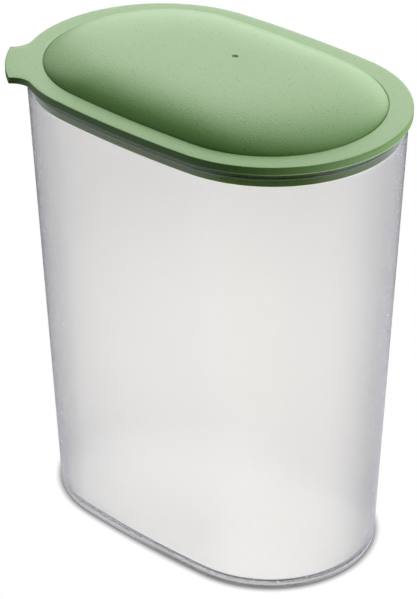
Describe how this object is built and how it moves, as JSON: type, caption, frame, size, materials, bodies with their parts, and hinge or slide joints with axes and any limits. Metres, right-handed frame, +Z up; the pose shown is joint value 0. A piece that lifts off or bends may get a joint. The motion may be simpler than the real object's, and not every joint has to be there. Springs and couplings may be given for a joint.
{
  "type": "storage canister",
  "caption": "Tall oval storage canister with tapered translucent walls and a domed lift-off lid that has a pull tab at one corner.",
  "frame": {"origin": "centre of the foot ring, on the surface the canister stands on", "axes": "+X along the length of the oval, away from the end that has the pull tab; +Y across the width, away from the long side that is nearer the tab; +Z up"},
  "size_m": [0.2128, 0.1412, 0.2599],
  "materials": {
    "frosted_plastic": "translucent, frosted",
    "lid_plastic": "satin, flecked"
  },
  "bodies": {
    "container": {"canister_body": "frosted_plastic"},
    "lid": {"lid": "lid_plastic"}
  },
  "joints": [
    {"name": "lid_lift", "type": "slide", "parent": "container", "child": "lid", "axis": [0, 0, 1], "range_m": [0, 0.3]}
  ]
}
